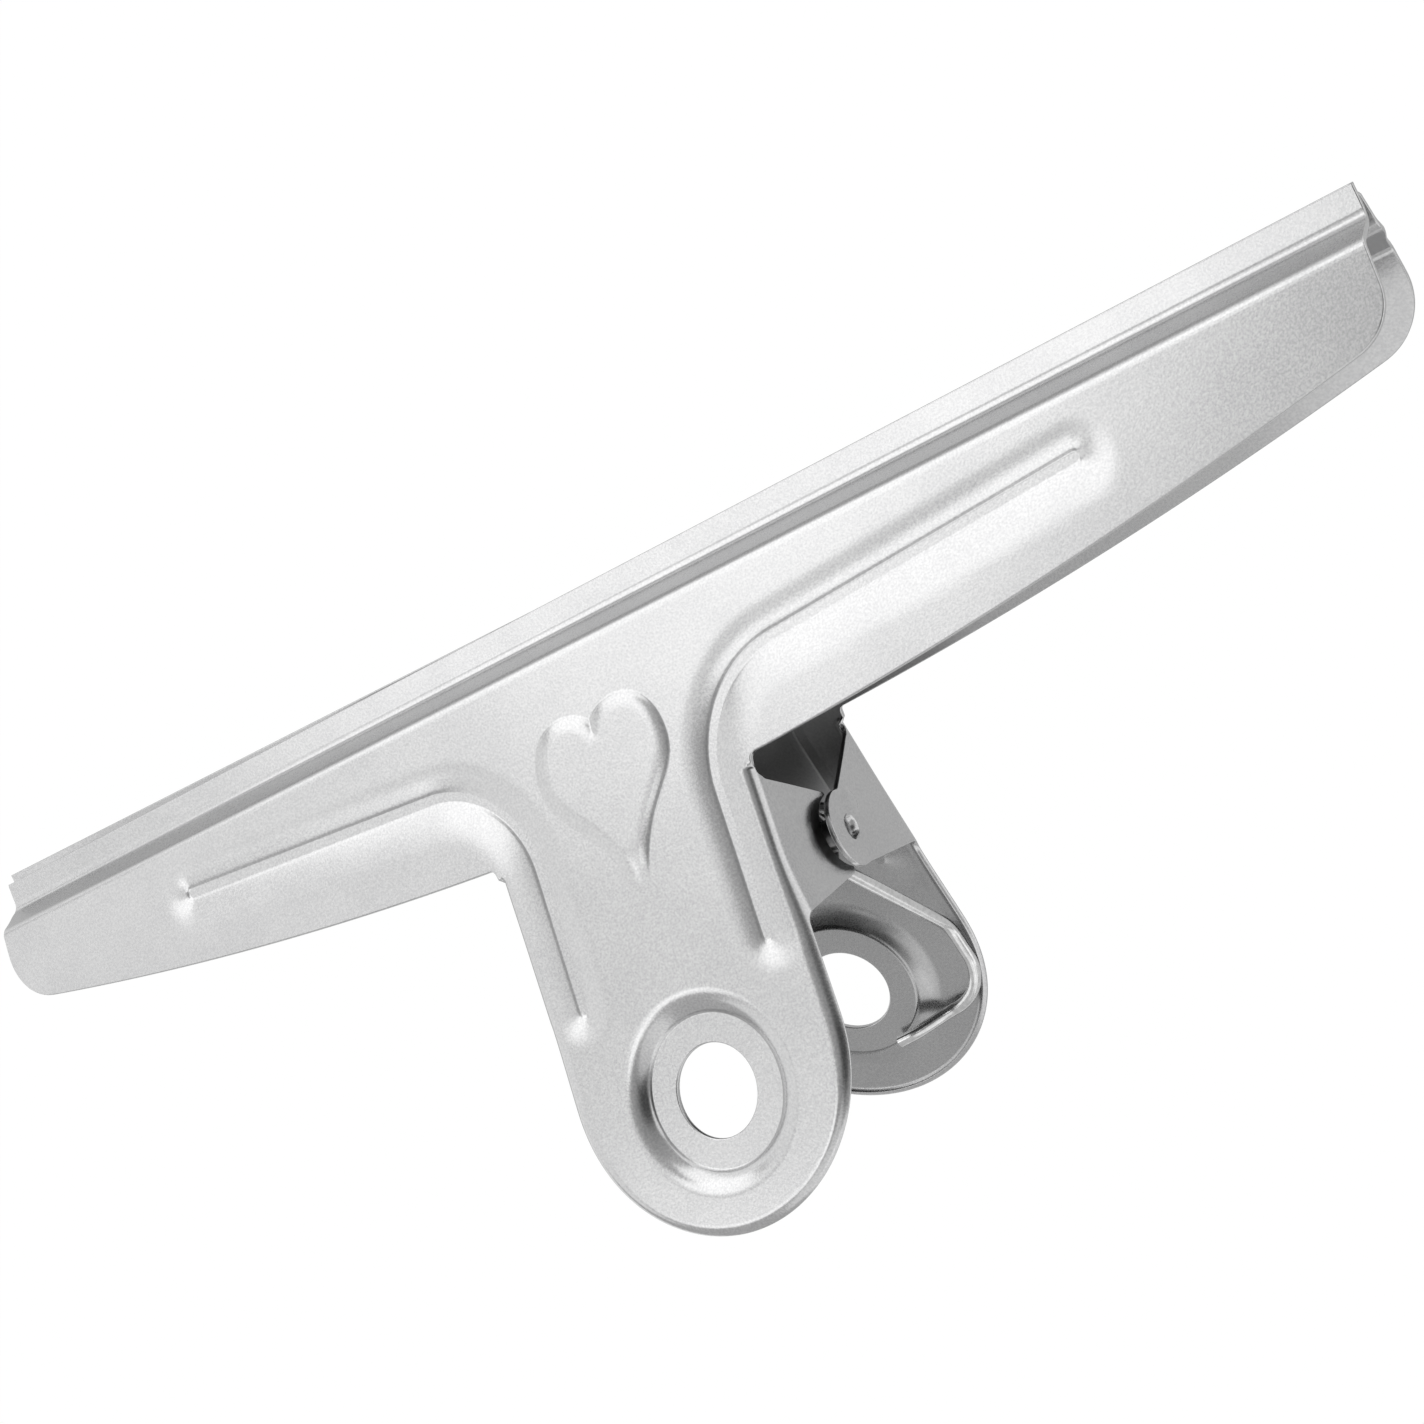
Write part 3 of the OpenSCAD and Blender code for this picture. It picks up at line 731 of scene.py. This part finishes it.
def rear_on_table(middle):
    """The same stamping turned over; it sits a hair askew on the hinge, so the lips gape at one end."""
    x, y = -middle[:, 0], middle[:, 1] + PIVOT_Y
    return front_on_table(np.c_[x + SKEW * y, y - SKEW * x - PIVOT_Y, -middle[:, 2] - GAPE * (HALF_JAW - x)])


NICKEL_DARK, NICKEL_BRIGHT = (0.505, 0.505, 0.51, 1), (0.62, 0.62, 0.62, 1)
NICKEL_PAINTED_SHADE = (0.5, 0.5, 0.5, 1)
GRAIN_SHARE, CLOUD_SHARE = 0.8, 0.2
NICKEL_ROUGH, GRAIN_ROUGH, DULL_ROUGH = 0.17, 0.08, 0.15
BUMP_HEIGHT = 0.02 * MM


def satin_nickel():
    """Nickel plate: neutral and bright with a fine grain; inside and in the jaw's step its colour is darkened as
    painted shade, and it is rougher there.
    """
    nickel = Finish(bpy.data.materials.new("satin_nickel"))
    place = nickel.add("ShaderNodeTexCoord", output="Object")
    grain = nickel.add("ShaderNodeTexNoise", {}, {"Vector": place, "Scale": 5200, "Detail": 2, "Roughness": 0.6})
    cloud = nickel.add("ShaderNodeTexNoise", {}, {"Vector": place, "Scale": 160, "Detail": 3})
    shade_and_dull = nickel.add("ShaderNodeAttribute", {"attribute_name": "shade_and_dull"}, output="Fac")
    bright = nickel.add("ShaderNodeMix", {"data_type": "RGBA"}, {
        0: grain.over(0.3, 0.7) * GRAIN_SHARE + cloud.over(0.35, 0.65) * CLOUD_SHARE,
        6: NICKEL_DARK, 7: NICKEL_BRIGHT}, output=2)
    # Painted shade: the colour is multiplied towards grey by the shade attribute.
    colour = nickel.add("ShaderNodeMix", {"data_type": "RGBA", "blend_type": "MULTIPLY"}, {
        0: shade_and_dull, 6: bright, 7: NICKEL_PAINTED_SHADE}, output=2)
    bump = nickel.add("ShaderNodeBump", {}, {"Strength": 0.2, "Distance": BUMP_HEIGHT, "Height": grain})
    return nickel.output(nickel.add("ShaderNodeBsdfPrincipled", {}, {
        "Base Color": colour, "Metallic": 1.0, "Normal": bump,
        "Roughness": NICKEL_ROUGH + GRAIN_ROUGH * grain + DULL_ROUGH * shade_and_dull}))


plate_finish = satin_nickel()
plate_points, plate_tips, plate_shade_and_dull, plate_polygons = stamping()
for body, node, to_table in (("front", "front_plate", front_on_table), ("rear", "rear_plate", rear_on_table)):
    mesh = bpy.data.meshes.new(body + "_stamping")
    mesh.from_pydata((to_table(plate_points) * MM).tolist(), [], plate_polygons)
    mesh.polygons.foreach_set("use_smooth", [True] * len(mesh.polygons))
    mesh.normals_split_custom_set_from_vertices((to_table(plate_tips) - to_table(plate_points)).tolist())
    # The painted-shade weights go onto the mesh as an attribute.
    mesh.attributes.new("shade_and_dull", "FLOAT", "POINT").data.foreach_set("value", plate_shade_and_dull)
    mesh.materials.append(plate_finish)
    plate = bpy.data.objects.new(body + "_stamping", mesh)
    scene.collection.objects.link(plate)
    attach(plate, body)
    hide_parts(node)

# Spring: one length of bright drawn wire. Its coil is wound close round the hinge
# axis, with the bosses of the outer ears in its ends, and each leg runs straight
# to a handle, bends flat and hooks round the raised ring of the hole.
WIRE_R = 0.55
COIL_R = 2.5
COIL_X = 11.9
WHOLE_TURNS = 14
LEG_GAP = 0.1
LEG_LEAD = 2.0
LEG_RUN = 3.0
HOOK_R = 4.3
HOOK_TURN = 84
HOOK_END_X = 2.1
LAND_BEND = 1.2
CLIMB_SHARE = 0.78
WIRE_ROUGH, STREAK_ROUGH = 0.14, 0.06
wire_w = -SHEET - LEG_GAP - WIRE_R
ring_w = wire_w - DISH_DEPTH


def on_rear_handle(x, v, w):
    """A place on the rear plate in the middle plane's frame."""
    return np.array([x, v * cos_splay + (w + STEP_DROP) * sin_splay,
                     v * sin_splay - (w + STEP_DROP) * cos_splay - LIP_OUT])


land = on_rear_handle(COIL_X, HOLE[1] + LEG_LEAD, wire_w)
from_axis = np.array((land[1] + PIVOT_Y, land[2]))
leave = (math.atan2(from_axis[1], from_axis[0]) - math.acos(COIL_R / np.linalg.norm(from_axis))) % (2 * math.pi)
coil_sweep = 2 * leave + 2 * math.pi * WHOLE_TURNS


def drawn_wire(name, dark, light):
    """Spring wire with the faint streaks of the die along it."""
    wire = Finish(bpy.data.materials.new(name))
    place = wire.add("ShaderNodeTexCoord", output="Object")
    streak = wire.add("ShaderNodeTexNoise", {}, {"Vector": place, "Scale": 2600, "Detail": 2})
    colour = wire.add("ShaderNodeMix", {"data_type": "RGBA"}, {
        0: streak.over(0.3, 0.7), 6: (dark, dark, dark, 1), 7: (light, light, light, 1)}, output=2)
    bump = wire.add("ShaderNodeBump", {}, {"Strength": 0.15, "Distance": BUMP_HEIGHT, "Height": streak})
    return wire.output(wire.add("ShaderNodeBsdfPrincipled", {}, {
        "Base Color": colour, "Metallic": 1.0, "Roughness": WIRE_ROUGH + STREAK_ROUGH * streak, "Normal": bump}))


def wire_tree():
    """Sweeps a round wire along a spiral; sizes are the tree's inputs."""
    tree = bpy.data.node_groups.new("wound_wire", "GeometryNodeTree")
    tree.interface.new_socket("Geometry", in_out="OUTPUT", socket_type="NodeSocketGeometry")
    for name in ("Turns", "Coil radius", "Length", "Wire radius"):
        tree.interface.new_socket(name, in_out="INPUT", socket_type="NodeSocketFloat")
    tree.interface.new_socket("Turn to table", in_out="INPUT", socket_type="NodeSocketRotation")
    tree.interface.new_socket("Place", in_out="INPUT", socket_type="NodeSocketVector")
    tree.interface.new_socket("Finish", in_out="INPUT", socket_type="NodeSocketMaterial")
    make = tree.nodes.new
    sizes, result = make("NodeGroupInput"), make("NodeGroupOutput")
    spiral, ring = make("GeometryNodeCurveSpiral"), make("GeometryNodeCurvePrimitiveCircle")
    sweep, move = make("GeometryNodeCurveToMesh"), make("GeometryNodeTransform")
    real, skin = make("GeometryNodeRealizeInstances"), make("GeometryNodeSetMaterial")
    soft = make("GeometryNodeSetShadeSmooth")
    spiral.inputs["Resolution"].default_value = 40
    ring.inputs["Resolution"].default_value = 16
    sweep.inputs["Fill Caps"].default_value = True
    for giver, given_socket, taker, taken_socket in (
            (sizes, "Turns", spiral, "Rotations"), (sizes, "Coil radius", spiral, "Start Radius"),
            (sizes, "Coil radius", spiral, "End Radius"), (sizes, "Length", spiral, "Height"),
            (sizes, "Wire radius", ring, "Radius"), (spiral, "Curve", sweep, "Curve"),
            (ring, "Curve", sweep, "Profile Curve"), (sweep, "Mesh", move, "Geometry"),
            (sizes, "Turn to table", move, "Rotation"), (sizes, "Place", move, "Translation"),
            (move, "Geometry", soft, "Geometry"), (soft, "Geometry", real, "Geometry"),
            (real, "Geometry", skin, "Geometry"), (sizes, "Finish", skin, "Material"),
            (skin, "Geometry", result, "Geometry")):
        tree.links.new(giver.outputs[given_socket], taker.inputs[taken_socket])
    return tree


def plain_mesh(name, source):
    """The evaluated shape of an object as a plain mesh object; the source is removed."""
    bpy.context.view_layer.update()
    mesh = bpy.data.meshes.new_from_object(source.evaluated_get(bpy.context.evaluated_depsgraph_get()))
    bpy.data.objects.remove(source)
    piece = bpy.data.objects.new(name, mesh)
    scene.collection.objects.link(piece)
    return piece


wire_finish = drawn_wire("drawn_wire", 0.64, 0.76)
# Painted shade: the coil is the same wire as the legs with its colour darkened, for the shade it lies in between the
# ears.
shaded_coil_finish = drawn_wire("painted_shade_wire", 0.25, 0.35)
winding = bpy.data.objects.new("winding", bpy.data.meshes.new("winding"))
scene.collection.objects.link(winding)
modifier = winding.modifiers.new("wound_wire", "NODES")
modifier.node_group = wire_tree()
axis_left = front_on_table(np.array([(-COIL_X, -PIVOT_Y, 0)]))[0] * MM
along_x = Matrix(((0, 0, 1), (1, 0, 0), (0, 1, 0)))
turn = (Matrix.Rotation(-SPLAY - leave, 3, "X") @ along_x).to_euler()
given = {"Turns": coil_sweep / (2 * math.pi), "Coil radius": COIL_R * MM, "Length": 2 * COIL_X * MM,
         "Wire radius": WIRE_R * MM, "Turn to table": turn, "Place": axis_left, "Finish": shaded_coil_finish}
for item in modifier.node_group.interface.items_tree:
    if item.in_out == "INPUT":
        modifier[item.identifier] = given[item.name]
coil = plain_mesh("spring_coil", winding)


def leg_path():
    """Middle of the right leg's wire, from the coil to its cut end."""
    start = np.array((COIL_X, COIL_R * math.cos(leave) - PIVOT_Y, COIL_R * math.sin(leave)))
    leg_way = (land - start) / np.linalg.norm(land - start)
    flat_way = on_rear_handle(0, -1, 0) - on_rear_handle(0, 0, 0)
    path = [start + s * (land - LAND_BEND * leg_way - start) for s in np.linspace(0, 1, 12)[:-1]]
    path += [land - (1 - s) ** 2 * LAND_BEND * leg_way + s ** 2 * LAND_BEND * flat_way for s in np.linspace(0, 1, 9)]
    hook = arc((COIL_X - HOOK_R, HOLE[1] + LEG_LEAD - LEG_RUN), HOOK_R, 0, -HOOK_TURN, count=24)
    path += [on_rear_handle(x, v, wire_w) for x, v in hook]
    way = np.array((-math.sin(math.radians(HOOK_TURN)), -math.cos(math.radians(HOOK_TURN))))
    tail = (hook[-1][0] - HOOK_END_X) / -way[0]
    for s in np.linspace(0, 1, 20)[1:]:
        x, v = hook[-1] + s * tail * way
        path.append(on_rear_handle(x, v, wire_w + (ring_w - wire_w) * smooth(s, 0, CLIMB_SHARE)))
    return np.array(path)


right_leg = leg_path()
legs = []
for name, path in (("spring_leg_rear", right_leg), ("spring_leg_front", right_leg * (-1, 1, -1))):
    curve = bpy.data.curves.new(name, "CURVE")
    curve.dimensions = "3D"
    curve.bevel_depth = WIRE_R * MM
    curve.bevel_resolution = 6
    curve.use_fill_caps = True
    spline = curve.splines.new("POLY")
    spline.points.add(len(path) - 1)
    for point, place in zip(spline.points, front_on_table(path) * MM):
        point.co = (*place, 1)
    line = bpy.data.objects.new(name + "_line", curve)
    scene.collection.objects.link(line)
    leg = plain_mesh(name, line)
    leg.data.materials.append(wire_finish)
    leg.data.polygons.foreach_set("use_smooth", [True] * len(leg.data.polygons))
    legs.append(leg)
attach(legs[0], "rear")
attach(legs[1], "front")
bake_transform(coil)
for wire in (coil, *legs):
    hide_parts("spring")
